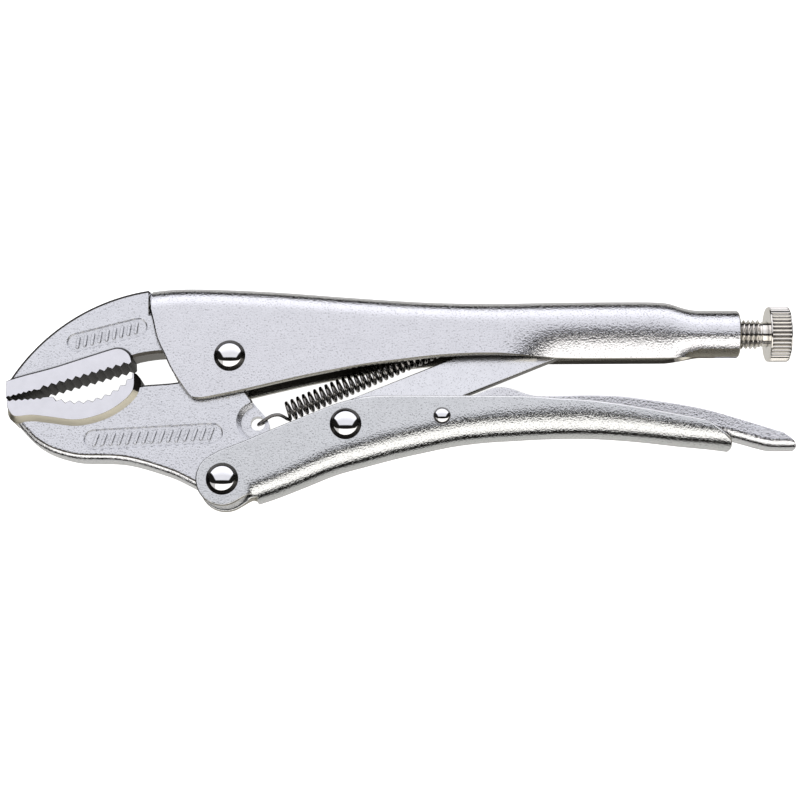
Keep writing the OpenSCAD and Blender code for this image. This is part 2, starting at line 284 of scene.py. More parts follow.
def cut(obj, cutter, operation="DIFFERENCE"):
    """Takes a cutter away from an object, or adds it with UNION, and removes the cutter."""
    boolean = obj.modifiers.new("cut", "BOOLEAN")
    boolean.object = cutter
    boolean.operation = operation
    boolean.solver = "EXACT"
    settle(obj)
    bpy.data.objects.remove(cutter)
    return obj


def grouped(parts):
    """Several separate solids as one object."""
    work = bmesh.new()
    for part in parts:
        work.from_mesh(part.data)
        bpy.data.objects.remove(part)
    mesh = bpy.data.meshes.new("tool")
    work.to_mesh(mesh)
    work.free()
    obj = bpy.data.objects.new("tool", mesh)
    bpy.context.scene.collection.objects.link(obj)
    return obj


def shaded(obj, angle=32):
    """Smooth shading, but for edges sharper than an angle."""
    obj.data.polygons.foreach_set("use_smooth", [True] * len(obj.data.polygons))
    obj.data.set_sharp_from_angle(angle=radians(angle))
    weighted = obj.modifiers.new("normals", "WEIGHTED_NORMAL")
    weighted.keep_sharp = True
    return obj


def lofted(name, rings, material=None):
    """A closed skin over rings of equal count, with a flat face at each end."""
    n = len(rings[0])
    faces = [(j * n + i, j * n + (i + 1) % n, (j + 1) * n + (i + 1) % n, (j + 1) * n + i)
             for j in range(len(rings) - 1) for i in range(n)]
    last = (len(rings) - 1) * n
    faces += [tuple(range(n))[::-1], tuple(range(last, last + n))]
    return piece(name, [p for ring in rings for p in ring], faces, material)


def plate(name, outline, low, high, material=None):
    """An outline, drawn anticlockwise, made solid from one height to another."""
    return lofted(name, [[(p[0], p[1], z) for p in outline] for z in (low, high)], material)


def disc(at, r, low, high, n=48):
    return plate("tool", arc(at, r, 0, 360 * (1 - 1 / n), n - 1), low, high)


def drilled(obj, at, r):
    """A hole right through an object."""
    return cut(obj, disc(at, r, -THROUGH, THROUGH))


def turned(name, stations, material, n=96):
    """A turned part along the screw's axis. A station is its place on the axis and its radius, which may
    be a rule for the radius at an angle."""
    angles = [2 * pi * i / n for i in range(n)]
    rings = []
    for x, radius in stations:
        rule = radius if callable(radius) else (lambda a, r=radius: r)
        rings.append([(x, SCREW_Y + rule(a) * cos(a), rule(a) * sin(a)) for a in angles])
    return lofted(name, rings, material)


def swept(name, path, r, sides, material):
    """A round wire along a path, its frame carried along without twist."""
    rings = []
    across = None
    for i, p in enumerate(path):
        along = (path[min(i + 1, len(path) - 1)] - path[max(i - 1, 0)]).normalized()
        across = along.orthogonal() if across is None else across - along * across.dot(along)
        across.normalize()
        other = along.cross(across)
        rings.append([p + r * (cos(a) * across + sin(a) * other)
                      for a in (2 * pi * k / sides for k in range(sides))])
    return lofted(name, rings, material)


def folded_sheet(name, columns, thickness, material, extra=(), rim=0.35, rim_steps=1, inside=None,
                 clamp=False):
    """Sheet metal: rows of middle-surface points, one list to each column, made solid and its rim rounded.
    extra holds faces that reach beyond the columns, as lists of points."""
    rows = len(columns[0])
    verts = [p for column in columns for p in column]
    faces = [(j * rows + i, (j + 1) * rows + i, (j + 1) * rows + i + 1, j * rows + i + 1)
             for j in range(len(columns) - 1) for i in range(rows - 1)]
    for outline in extra:
        faces.append(tuple(range(len(verts), len(verts) + len(outline))))
        verts += outline
    obj = piece(name, verts, faces, material)
    if sum(face.normal.z * drawn(face.center).z for face in obj.data.polygons) < 0:
        obj.data.flip_normals()
    obj.data.materials.append(inside or material)
    obj.data.materials.append(SHEARED)
    solid = obj.modifiers.new("sheet", "SOLIDIFY")
    solid.thickness = thickness * MM
    solid.offset = 0
    solid.use_even_offset = True
    solid.material_offset = 1
    solid.material_offset_rim = 2
    settle(obj)
    return rounded(obj, rim, rim_steps, 60, clamp=clamp)


WALL_STEPS = 16
CORNER_STEPS = 10


def channel_half(edge, crown, half, foot, radius, rise=None, lean=1.6):
    """Half of a folded channel's middle line, (z, y) from the free edge to the middle of the crown. rise is
    the height of the corner, where it isn't round, and lean how much the wall curves."""
    rise = rise or radius
    wall = [(mix(foot, half, 1 - (1 - t) ** lean), mix(edge, crown - rise, t))
            for t in (i / WALL_STEPS for i in range(WALL_STEPS))]
    bend = [(half - radius + radius * cos(a), crown - rise + rise * sin(a))
            for a in (pi / 2 * i / CORNER_STEPS for i in range(CORNER_STEPS + 1))]
    return wall + bend + [((half - radius) / 2, crown), (0, crown)]


def both_walls(half):
    """A column of a channel's middle surface, from the points of one half, and its mirror image."""
    return half + [(x, y, -z) for x, y, z in reversed(half[:-1])]


# --- materials -----------------------------------------------------------------------------------


def color_mix(tree, first, second, factor):
    """A mix of two colours, each of them fixed or from a socket."""
    node = tree.nodes.new("ShaderNodeMix")
    node.data_type = "RGBA"
    for socket, value in (("A", first), ("B", second)):
        if isinstance(value, tuple):
            node.inputs[socket].default_value = (*value, 1)
        else:
            tree.links.new(value, node.inputs[socket])
    tree.links.new(factor, node.inputs["Factor"])
    return node.outputs["Result"]


def darker(color, share):
    return tuple(c * share for c in color)


def metal(name, color, roughness, grain=0.0, grain_mm=0.5, wear=0.0, hollow=0.3, hollow_mm=1.2):
    """A metal finish. grain is the depth of the blasting in hundredths of a millimetre, wear how much the
    roughness varies in patches, and hollow how much of the colour is left in hollows hollow_mm across: painted
    shade, the colour darkened wherever ambient occlusion finds a hollow."""
    material = bpy.data.materials.new(name)
    material.use_nodes = True
    tree = material.node_tree
    nodes, links = tree.nodes, tree.links
    shader = nodes["Principled BSDF"]
    shader.inputs["Metallic"].default_value = 1.0
    shader.inputs["Roughness"].default_value = roughness
    place = nodes.new("ShaderNodeTexCoord")

    def noise(size_mm, detail, rough=0.5):
        node = nodes.new("ShaderNodeTexNoise")
        node.inputs["Scale"].default_value = 1 / (size_mm * MM)
        node.inputs["Detail"].default_value = detail
        node.inputs["Roughness"].default_value = rough
        links.new(place.outputs["Object"], node.inputs["Vector"])
        return node.outputs["Fac"]

    def ranged(value, low, high, start=0.3, end=0.7):
        node = nodes.new("ShaderNodeMapRange")
        node.inputs["From Min"].default_value = start
        node.inputs["From Max"].default_value = end
        node.inputs["To Min"].default_value = low
        node.inputs["To Max"].default_value = high
        links.new(value, node.inputs["Value"])
        return node.outputs["Result"]

    if wear:
        patches = ranged(noise(9, 3), roughness - wear, roughness + wear)
        links.new(patches, shader.inputs["Roughness"])
    mottled = color_mix(tree, color, darker(color, 0.93), ranged(noise(3.5, 4, 0.6), 0, 1, 0.35, 0.75))
    blasting = noise(grain_mm, 2, 0.55)
    if grain > 2:
        mottled = color_mix(tree, darker(color, 0.72), mottled, ranged(blasting, 0, 1, 0.32, 0.44))
    # Painted shade: ambient occlusion darkens the base colour in hollows and close to other parts.
    shade_occlusion = nodes.new("ShaderNodeAmbientOcclusion")
    shade_occlusion.samples = 6
    shade_occlusion.inputs["Distance"].default_value = hollow_mm * MM
    unshaded_share = ranged(shade_occlusion.outputs["AO"], 0, 1, 0.25, 0.85)
    links.new(color_mix(tree, darker(color, hollow), mottled, unshaded_share), shader.inputs["Base Color"])
    if grain:
        bump = nodes.new("ShaderNodeBump")
        bump.inputs["Strength"].default_value = 1.0
        bump.inputs["Distance"].default_value = grain * 0.01 * MM
        links.new(blasting, bump.inputs["Height"])
        links.new(bump.outputs["Normal"], shader.inputs["Normal"])
    return material


BLAST = {"roughness": 0.13, "grain": 12, "grain_mm": 0.58, "wear": 0.02}
BLASTED = metal("blasted_sheet", (0.80, 0.80, 0.82), hollow=0.25, **BLAST)
# The lower handle's sheet: the blasted sheet's colour made darker.
LOWER_SHEET_DARKER = metal("lower_sheet_darker", (0.725, 0.735, 0.735), hollow=0.25, **BLAST)
LEVER = metal("lever_sheet", (0.80, 0.80, 0.82), hollow=0.7, hollow_mm=0.5, **BLAST)
LINK_FINISH = metal("link_bar", (0.90, 0.905, 0.925), 0.22, grain=3, grain_mm=0.5, wear=0.02, hollow=0.25)
# Painted shade: a near-black colour for the upper handle's inner faces, where the deep channel lies in shadow.
INSIDE_SHADE = metal("sheet_inside_shade", (0.20, 0.19, 0.17), 0.35, grain=4, grain_mm=0.6, wear=0.05, hollow=0.15,
               hollow_mm=4)
SHEARED = metal("sheared_edge", (0.52, 0.50, 0.44), 0.26, grain=2, grain_mm=0.4, hollow=0.3)
FORGED = metal("forged_steel", (0.79, 0.795, 0.815), 0.15, grain=13, grain_mm=0.6, wear=0.03, hollow=0.2)
GROUND = metal("ground_pad", (0.88, 0.875, 0.905), 0.3, grain=0.5, grain_mm=0.25, wear=0.02, hollow=0.6)
# Painted shade: near black for the teeth's walls, the pads' rear ends and the upper pad's slope.
TOOTH_SHADE = metal("tooth_groove_shade", (0.022, 0.02, 0.018), 0.5, grain=1, grain_mm=0.4, hollow=0.3)
SHADED = metal("shaded_side", (0.13, 0.12, 0.105), 0.35, grain=3, grain_mm=0.5)
# Painted shade: a dark khaki for the tube's underside, standing in for the shaded floor it mirrors.
TUBE_UNDERSIDE_SHADE = metal("tube_underside_shade", (0.30, 0.28, 0.23), 0.25, grain=20, grain_mm=0.55)
# Painted reflection: a warm khaki for the lower pad's slope, the tone of the warm light it faces.
PAD_WALL_REFLECTION = metal("pad_wall_reflection", (0.52, 0.49, 0.40), 0.35, grain=2, grain_mm=0.5, hollow=0.4)
CHROME = metal("bright_rivet", (0.88, 0.88, 0.89), 0.05, grain=0.05, grain_mm=0.8, hollow=0.6, hollow_mm=0.5)
# Painted shade: a dark ring on the big rivets' cones and a grey one on the small rivet's.
RIVET_RING_SHADE = metal("rivet_edge", (0.11, 0.106, 0.10), 0.2, grain=0.1)
SMALL_RING_SHADE = metal("small_rivet_edge", (0.35, 0.34, 0.33), 0.22, grain=0.1)
# Painted highlight: a near-white rim along the lower handle's free edge, where the rounding catches the light.
EDGE_HIGHLIGHT = metal("highlight_edge", (0.97, 0.97, 0.97), 0.4, grain=0.5, hollow=0.9)
NICKEL = metal("nickel", (0.88, 0.85, 0.80), 0.12, grain=0.5, grain_mm=0.4, wear=0.03, hollow=0.04,
               hollow_mm=1.0)
WIRE = metal("spring_wire", (0.26, 0.25, 0.24), 0.14, grain=0.2, grain_mm=0.3, wear=0.04, hollow=0.3)

# --- parts of both jaws --------------------------------------------------------------------------

COARSE_COUNT = 11
FINE_COUNT = 6
COARSE_DEPTH = 1.0
FINE_DEPTH = 0.5
LOBE_R = 8.6
RIVET_HOLE_R = 3.3
# The place past which a pad's rear end gets the same painted shade as its grooves
PAD_REAR = (-86.6, 3)
# A pad's material slots: painted shade, and a painted warm reflection for a plain slope
DARK_SLOT, WALL_SLOT = 1, 2


def teeth(a, b, count, depth):
    """Teeth on a straight line: tips on the line, notches set off to its left."""
    a, b = Vector(a), Vector(b)
    off = Vector((a.y - b.y, b.x - a.x)).normalized() * depth
    return [a.lerp(b, (i + s / 2) / count) + s * off for i in range(count) for s in (0, 1)] + [b]


def arc_teeth(middle, r, a0, a1, count, depth):
    """Teeth round an arc: tips on the arc, notches outside it."""
    return [polar(middle, r + s * depth, mix(a0, a1, (i + s / 2) / count))
            for i in range(count) for s in (0, 1)] + [polar(middle, r, a1)]


def pad(name, toothed, plain, wall, wall_slot):
    """A gripping pad that stands proud of both faces of a jaw. Its toothed side is square. Round its plain
    side a slope runs down to the jaw's face, wall millimetres wide but narrowing to nothing at its ends."""
    outline = toothed + plain
    foot = list(toothed)
    for i, p in enumerate(plain):
        before = plain[i - 1] if i else toothed[-1]
        after = plain[i + 1] if i + 1 < len(plain) else toothed[0]
        way = (after - before).normalized()
        ends = min(1, (i + 0.3) / 6, (len(plain) - i - 0.4) / 2.5)
        foot.append(p + Vector((way.y, -way.x)) * wall * ends)
    low = JAW - 0.25
    rings = [[(p.x, p.y, z) for p in ring]
             for ring, z in ((outline, -PAD), (foot, -low), (foot, low), (outline, PAD))]
    obj = lofted(name, rings, GROUND)
    count = len(outline)
    # Painted shade on the toothed side and the rear end; the plain slope takes the wall slot.
    for part in range(len(rings) - 1):
        for i in range(count):
            face = obj.data.polygons[part * count + i]
            spot = drawn(face.center)
            at_rear = spot.x > PAD_REAR[0] and spot.y > PAD_REAR[1]
            face.material_index = DARK_SLOT if i < len(toothed) or at_rear else wall_slot
    obj.data.materials.append(TOOTH_SHADE)
    obj.data.materials.append(PAD_WALL_REFLECTION)
    return rounded(obj, 0.13, 1, 35)


def stadium(middle, length, width, turn, low, high, draft=0.0, n=10):
    """A round-ended block, wider by draft all round at its high end."""
    way = heading(turn)
    reach = (length - width) / 2
    rings = []
    for z, r in ((low, width / 2), (high, width / 2 + draft)):
        outline = (arc(Vector(middle) + way * reach, r, turn - 90, turn + 90, n)
                   + arc(Vector(middle) - way * reach, r, turn + 90, turn + 270, n))
        rings.append([(*p, z) for p in outline])
    return lofted("tool", rings)


PANEL_DEPTH = 0.65
PANEL_DRAFT = 0.75
# How far a panel's bars stay from its edge, their width, their slant and how they taper
BAR_MARGIN = 0.55
BAR_WIDTH = 1.35
BAR_SLANT = 68
BAR_DRAFT = -0.58


def panel(jaw, middle, length, width, turn, bars):
    """A shallow panel in each face of a jaw, with a row of raised slanting bars in it."""
    row = heading(turn) * (length - width - 1)
    spots = [Vector(middle) + row * (i / (bars - 1) - 0.5) for i in range(bars)]
    bar = width - 2 * BAR_MARGIN
    for side in (-1, 1):
        floor, top = side * (JAW - PANEL_DEPTH), side * (JAW + 0.5)
        low, high = floor - side * 0.2, top + side * 0.1
        raised = [stadium(at, bar, BAR_WIDTH, turn + BAR_SLANT, low, high, BAR_DRAFT, 5) for at in spots]
        hollow = stadium(middle, length, width, turn, floor, top, PANEL_DRAFT)
        cut(jaw, cut(hollow, grouped(raised)))
    return jaw


# --- upper jaw -----------------------------------------------------------------------------------

HANDLE_FRONT = -80
NOSE_MIDDLE, NOSE_R = (-71, -25), 62.4


def upper_jaw_outline():
    nose = arc(NOSE_MIDDLE, NOSE_R, 149.3, 98.4, 40)
    tang = [Vector((HANDLE_FRONT, 29)), Vector((-44, 29)), Vector((-44, MAIN_PIVOT[1] + 9))]
    seat = arc(MAIN_PIVOT, LOBE_R + 0.4, 58, 178, 30)
    underside = smooth([(-72, 15), (-76, 16), (-84, 14.9), (-90, 12.5)], 4)
    return [Vector((-124.4, 3))] + nose + tang + seat + underside


def on_nose(spot, normal):
    """The chamfer along the nose's arc."""
    return (spot.xy - Vector(NOSE_MIDDLE)).length > NOSE_R - 1 and 0.4 < normal.z < 0.9


def over_mouth(spot, normal):
    """The upper jaw's underside behind the pad."""
    return normal.y < -0.5 and -88 < spot.x < -70 and spot.y < 20


def make_upper_jaw():
    jaw = rounded(plate("upper_jaw_body", upper_jaw_outline()[::-1], -JAW, JAW, FORGED), 0.85, 1)
    faced(jaw, SHADED, on_nose)
    panel(jaw, (-93.8, 21.8), 25.6, 5.5, 14.5, 9)
    return faced(jaw, SHADED, over_mouth)


def make_upper_pad():
    toothed = (teeth((-125.1, 0.8), (-115.3, 3.4), FINE_COUNT, FINE_DEPTH)
               + teeth((-114.3, 3.6), (-86.4, 11.8), COARSE_COUNT, COARSE_DEPTH))
    plain = smooth([(-85.5, 12.6), (-86.2, 14.8), (-87.7, 16.3), (-89.7, 17), (-92.2, 16.6), (-100.2, 14),
                    (-110.2, 10.7), (-119.3, 8.2), (-125.2, 6.4)])
    # The upper pad's plain slope gets the painted shade as well.
    return pad("upper_jaw_pad", toothed, plain, 0.8, DARK_SLOT)


# --- lower jaw -----------------------------------------------------------------------------------

SPRING_HOLE = (-45.4, -6.4)
SPRING_HOLE_R = 2.3
# Half thickness of the tab that takes the spring, and the rings of the step down to it
TAB = 2
TAB_STEPS = ((5.3, TAB), (6.6, JAW), (6.9, JAW + 1))
# The lower jaw's bottom edge is rounded in front of the lower handle and below the pad
ROUNDED_BELOW, ROUNDED_IN_FRONT = -6.3, -61


def lower_jaw_outline():
    throat = smooth([(-84, 4.5), (-82, 5.4), (-71, 6.4), (-65.5, 8.6)], 4)
    lobe = arc(MAIN_PIVOT, LOBE_R, 196, -10, 30)
    rear = [Vector((-49.2, 3.4)), Vector((-47, 0.4)), Vector((-47.7, -14))]
    ear = arc(LEVER_PIVOT, 7.8, 20, -160, 36)
    chin = smooth([(-70, -24.4), (-74, -22.8), (-83, -20), (-90, -18.8), (-100, -18.6), (-104.5, -18),
                   (-110.5, -16.2), (-115.5, -13.4), (-119, -10.1), (-122, -6.6), (-124.6, -2)])
    under_pad = [Vector((-112, -1.6)), Vector((-102.8, -2.2)), Vector((-94, -0.9)), Vector((-88, 2))]
    return throat + lobe + rear + ear + chin + under_pad


def at_chin(spot):
    return abs(spot.z) > JAW - 0.1 and spot.y < ROUNDED_BELOW and spot.x < ROUNDED_IN_FRONT


def on_chin(spot, normal):
    """A line along the inner side of the chin's rounding."""
    return -0.36 < normal.y < -0.2 and normal.z > 0.9 and spot.x < ROUNDED_IN_FRONT


def add_spring_tab(jaw):
    """A thin tab with a hole in it, where the spring hooks on."""
    outline = ([Vector((-52, -14)), Vector((-52, 0.6)), Vector((-47.2, 0.6))]
               + smooth([(-45, -1.9), (-42.4, -5), (-41.6, -8), (-43, -11.5), (-47, -14)], 6))
    cut(jaw, plate("tool", outline, -TAB, TAB), "UNION")
    for side in (-1, 1):
        rings = [[(*p, side * z) for p in arc(SPRING_HOLE, r, 0, 354, 59)] for r, z in TAB_STEPS]
        cut(jaw, lofted("tool", rings))
    return cut(jaw, disc(SPRING_HOLE, SPRING_HOLE_R, -9, 9))


def make_lower_jaw():
    jaw = plate("lower_jaw_body", lower_jaw_outline(), -JAW, JAW, FORGED)
    rounded(jaw, 2.2, 8, where=at_chin)
    faced(jaw, SHADED, on_chin)
    rounded(jaw, 0.6, 1)
    add_spring_tab(jaw)
    for at in (MAIN_PIVOT, LEVER_PIVOT):
        cut(jaw, disc(at, RIVET_HOLE_R, -9, 9))
    return panel(jaw, (-78.2, -11.2), 43.4, 5.9, 3.2, 15)


def make_lower_pad():
    toothed = (arc_teeth((-102.8, 22.1), 22, 323.5, 250.5, COARSE_COUNT - 1, COARSE_DEPTH)
               + teeth((-113.3, 1.2), (-124.8, 0.4), FINE_COUNT, FINE_DEPTH))
    plain = smooth([(-124.6, -2), (-122.2, -4.9), (-116.6, -4.6), (-110.2, -5.3), (-102.2, -6.1),
                    (-94.2, -4.1), (-88.2, -0.4), (-84.8, 3.7), (-84.6, 9)])
    # The lower pad's plain slope takes the painted warm reflection.
    return pad("lower_jaw_pad", toothed, plain, 2.0, WALL_SLOT)


# --- upper handle --------------------------------------------------------------------------------

HANDLE_END = last_corner("upper_handle").x + RUN_ON
# The channel rolls into a tube between these places, and the tube's seam is at an angle
ROLL_START = 85
TUBE_START = 96
TUBE_R = 7.7
SEAM_ANGLE = -87
SHEET_HOLE_R = 3.27
# Outer heights of the crown and of the free edge
crown_at = profile([(-80, 36.8), (-72, 37.6), (-60, 37.6), (-40, 36.7), (-20, 35.2), (0, 33.8),
                    (13, 33.2), (30, 33), (50, 33.4), (70, 33.6), (83, 33.5), (91, 32.7), (97, 31.7),
                    (103, 31.2), (109, 31.2)])
free_edge = smooth([(-79, 26), (-77.5, 20), (-75, 14.8), (-73, 10.5), (-70.5, 6.5), (-68, 2.6),
                    (-66, 0.9), (-63.5, 0.5), (-60, 1), (-50, 3.1), (-40, 5.5), (-30, 7.8), (-20, 9.8),
                    (-10, 11.6), (0, 12.9), (10, 14.1), (20, 14.8), (30, 15), (50, 14.7), (80, 14.8),
                    (109, 15)], 6)
edge_at = profile([p for p in free_edge if p.x > -64], 1)
# Outer half widths of the walls' free edges and of the walls, and the size of the corners
foot_at = profile([(-80, OUTER), (20, OUTER), (34, 7.9), (45, 6.0), (56, 4.6), (109, 4.6)])
half_at = profile([(-80, OUTER), (80, OUTER), (TUBE_START, TUBE_R), (109, TUBE_R)], 1)
corner_at = profile([(-80, 7), (5, 7), (50, 7.6), (109, 7.6)], 1)
# The curved front patch: where it ends, its columns and the front corner of the wall
PATCH_END = -50
PATCH_COLUMNS = 20
FRONT_CORNER = Vector((-66.6, 1.4))


def upper_half(x):
    """(z, y) from the free edge to the middle of the crown."""
    crown, half = crown_at(x) - HALF_SHEET, half_at(x) - HALF_SHEET
    corner = min(corner_at(x) - HALF_SHEET, half)
    folded = channel_half(edge_at(x), crown, half, foot_at(x) - HALF_SHEET, corner, lean=1.9)
    t = ease((x - ROLL_START) / (TUBE_START + 1 - ROLL_START))
    r = TUBE_R - HALF_SHEET
    rolled = [(r * cos(a), SCREW_Y + r * sin(a))
              for a in (radians(mix(SEAM_ANGLE, 90, i / (len(folded) - 1))) for i in range(len(folded)))]
    return [(mix(za, zb, t), mix(ya, yb, t)) for (za, ya), (zb, yb) in zip(folded, rolled)]


def coons(left, right, top, bottom, i, j):
    """A point of a patch between four edges, from the bottom up and from left to right."""
    v, u = i / (len(left) - 1), j / (len(top) - 1)
    corners = (bottom[0].lerp(bottom[-1], u)).lerp(top[0].lerp(top[-1], u), v)
    return left[i].lerp(right[i], u) + bottom[j].lerp(top[j], v) - corners


def front_columns():
    """The curved front is a patch between the front edge, the free edge, the shoulder of the fold and the
    first straight column."""
    wall_z = OUTER - HALF_SHEET
    shoulder = smooth([(x, crown_at(x) - corner_at(x)) for x in spaced(HANDLE_FRONT, PATCH_END, 5)], 2)
    front = even(smooth([FRONT_CORNER, (-68, 2.9), (-70.5, 6.5), (-73, 10.5), (-75, 14.8), (-77.5, 20),
                         (-79, 26), shoulder[0]]), WALL_STEPS)
    bottom = even([FRONT_CORNER] + [p for p in free_edge if FRONT_CORNER.x + 0.3 < p.x < PATCH_END]
                  + [Vector((PATCH_END, edge_at(PATCH_END)))], PATCH_COLUMNS)
    rear = even([bottom[-1], shoulder[-1]], WALL_STEPS)
    top = even(shoulder, PATCH_COLUMNS)
    columns = []
    for j in range(PATCH_COLUMNS):
        x = top[j].x
        wall = [(*coons(front, rear, top, bottom, i, j), wall_z) for i in range(WALL_STEPS)]
        bend = channel_half(0, crown_at(x) - HALF_SHEET, wall_z, wall_z, corner_at(x) - HALF_SHEET)
        columns.append(both_walls(wall + [(x, y, z) for z, y in bend[WALL_STEPS:]]))
    return columns


def straight_columns():
    """Behind the front every column is a section."""
    return [both_walls([(x, y, z) for z, y in upper_half(x)])
            for x in spaced(PATCH_END, 80, 2) + spaced(80.7, HANDLE_END, 0.8)]


def on_leaning_edge(spot, normal):
    """The rounding between the leaning walls' free edges and their outer faces."""
    return 44 < spot.x < 89 and normal.y < -0.6 and normal.z * spot.z < -0.5 and abs(spot.z) > 1


# Where the tube's underside gets the painted shade.
def under_tube(spot, normal):
    return spot.x > 88 and normal.y < -0.78


def make_upper_handle():
    columns = front_columns() + straight_columns()
    handle = folded_sheet("upper_handle_sheet", columns, SHEET, BLASTED, rim=0.45, inside=INSIDE_SHADE)
    drilled(handle, MAIN_PIVOT, SHEET_HOLE_R)
    faced(handle, SHADED, on_leaning_edge)
    return faced(handle, TUBE_UNDERSIDE_SHADE, under_tube)


# --- lower handle --------------------------------------------------------------------------------

LOWER_END = last_corner("lower_handle").x + RUN_ON
# Outer depth of the web and height of the free edge
web_at = profile([(-46, -32.2), (-39.6, -30.1), (-30, -26.3), (-20.6, -22.5), (-11, -19.8), (-1.6, -17.3),
                  (8, -15.1), (17.4, -13.2), (27, -12), (36, -11.4), (48, -10.8), (60, -10.7),
                  (70, -11.2), (79, -12), (88.6, -13.1), (98, -14), (107, -15.1)])
top_at = profile([(-60, -17.3), (-50, -13.4), (-40, -9.1), (-30, -5), (-20, -1), (-12, 1), (-5, 1.6),
                  (10, 1.6), (30, 1.5), (40, 1.4), (50, 0.7), (60, 0.1), (70, -1.2), (80, -2.9),
                  (90, -4.8), (100, -6.9), (106, -8.2)])
# Width of the corner and its height, which isn't the same
LOWER_CORNER = 6.2
corner_rise_at = profile([(-46, 7), (-20, 8.5), (20, 9), (45, 10), (75, 10), (107, 9)])
EAR_R = 8.4
WEB_FRONT = -45.4
EAR_REAR = -49
# Rows of the corner that reach past the web's front edge, into the ears
NOTCH_ROWS = 6
notch_drop = profile([(-49, 1.2), (-47.2, 0.96), (-45.4, 1)])
# How much further the web reaches to the rear than the free edge, and the stretch that is sheared for it
LOWER_REACH = 9
LOWER_RUN_OUT = 14
# Where the rim changes from painted shade to a painted highlight
RIM_CHANGE = -12
SMALL_HOLE_R = 1.72


def lower_half(x):
    """(z, y) from the free edge to the middle of the web."""
    wall = OUTER - HALF_SHEET
    rise = min(corner_rise_at(x), top_at(x) - web_at(x) - 0.8) - HALF_SHEET
    half = channel_half(-top_at(x), -web_at(x) - HALF_SHEET, wall, wall, LOWER_CORNER - HALF_SHEET, rise)
    return [(z, -y) for z, y in evened(half, ease((x - WEB_FRONT) / 30))]


def scoop(x, i, half, start, end, reach):
    """Where a column's point goes at a channel's rear end, whose free edge stops short of its web by
    reach."""
    drop = max(0, (half[i][1] - half[-1][1]) / (half[0][1] - half[-1][1]))
    stop = end - reach * drop ** 2.1
    return mix(start, stop, (x - start) / (end - start))


def channel_columns(half_at_x, stations, end, reach, run_out):
    """Columns of a channel, its last stretch sheared so that its end is cut at a slant."""
    columns = []
    start = end - run_out
    for x in stations:
        half = half_at_x(x)
        points = []
        for i in range(len(half)):
            at = scoop(x, i, half, start, end, reach) if x > start else x
            z, y = half_at_x(at)[i]
            points.append((at, y, z))
        columns.append(both_walls(points))
    return columns


def notch_column(x):
    """The walls alone, between the ears and the web: the corner fades out into a flat wall."""
    half = lower_half(x)[:WALL_STEPS + NOTCH_ROWS + 1]
    start = half[WALL_STEPS][1]
    quarter = pi / 2 * (LOWER_CORNER - HALF_SHEET) * notch_drop(x)
    bent = ease((x - EAR_REAR) / (WEB_FRONT - EAR_REAR))
    points = []
    for i, (z, y) in enumerate(half):
        if i > WALL_STEPS:
            flat_y = start - (i - WALL_STEPS) / CORNER_STEPS * quarter
            z, y = mix(OUTER - HALF_SHEET, z, bent), mix(flat_y, y, bent)
        points.append((x, y, z))
    return points


def ear_faces():
    """The ears and the walls between them and the web, as outlines."""
    columns = [notch_column(x) for x in spaced(EAR_REAR, WEB_FRONT, 0.6)]
    ear = ([(p.x, p.y) for p in arc(LEVER_PIVOT, EAR_R, 118, 300, 40)] + [(-50.4, -31.7)]
           + [(x, y) for x, y, z in reversed(columns[0])]
           + [(x, top_at(x)) for x in (-51, -53, -55, -57)])
    outlines = []
    for side in (1, -1):
        outlines.append([(x, y, side * (OUTER - HALF_SHEET)) for x, y in ear])
        for a, b in zip(columns, columns[1:]):
            for i in range(len(a) - 1):
                outlines.append([(x, y, side * z) for x, y, z in (a[i], b[i], b[i + 1], a[i + 1])])
    return outlines


# The upper rounding of the free edge behind RIM_CHANGE, which gets a painted highlight.
def on_highlight_rim(spot, normal):
    return normal.y > 0.1 and normal.z > 0.2 and spot.z > OUTER - 1 and spot.x > RIM_CHANGE


def on_dark_rim(spot, normal):
    """The rim of the free edge in front of the painted highlight, and all round the ears: painted shade."""
    if spot.z <= OUTER - 1 or spot.x >= RIM_CHANGE:
        return False
    return 0.15 < normal.z < 0.85 and (normal.y > -0.3 or spot.x < -50)


def make_lower_handle():
    columns = channel_columns(lower_half, spaced(WEB_FRONT, LOWER_END, 1.5), LOWER_END, LOWER_REACH,
                              LOWER_RUN_OUT)
    handle = folded_sheet("lower_handle_sheet", columns, SHEET, LOWER_SHEET_DARKER, ear_faces(), 0.5, 5)
    faced(handle, EDGE_HIGHLIGHT, on_highlight_rim)
    faced(handle, SHADED, on_dark_rim)
    for at, r in ((LEVER_PIVOT, SHEET_HOLE_R), (LINK_PIVOT, SHEET_HOLE_R), (RELEASE_PIVOT, SMALL_HOLE_R)):
        drilled(handle, at, r)
    return handle


# --- release lever -------------------------------------------------------------------------------

RELEASE_START, RELEASE_END = 9, last_corner("release_lever").x + RUN_ON
RELEASE_HALF = last_corner("release_lever").z
RELEASE_SHEET = 1.6
RELEASE_REACH = 4.2
RELEASE_RUN_OUT = 10
# Outer depth of the web, height of the free edge, and how much wider the channel is at its free edge
release_web = profile([(8, -9.8), (17, -9.1), (27, -8), (36, -7.6), (50, -6.8), (60, -6.7), (70, -7.3),
                       (79, -8), (88.6, -9), (98, -10.1), (104, -11.1), (110, -12.7), (115, -14.1),
                       (118.5, -14.7), (127, -14.7)])
release_top = profile([(8, -2), (10, -0.6), (13, 0), (17, 0.2), (20, 0.9), (24, 2.4), (27, 3.6),
                       (30, 4.6), (33, 4.8), (36, 4.2), (40, 2.8), (44, 2), (50, 2), (60, 2.2),
                       (70, 1.9), (79, 0.8), (88.6, -0.6), (98, -2.5), (107, -5.1), (115, -7.6),
                       (121.5, -9.6), (126, -10.4)])
release_spread = profile([(8, 0), (24, 0), (45, 0.45), (60, 0.62), (80, 0.58), (100, 0.4), (115, 0.2),
                          (126, 0.1)])


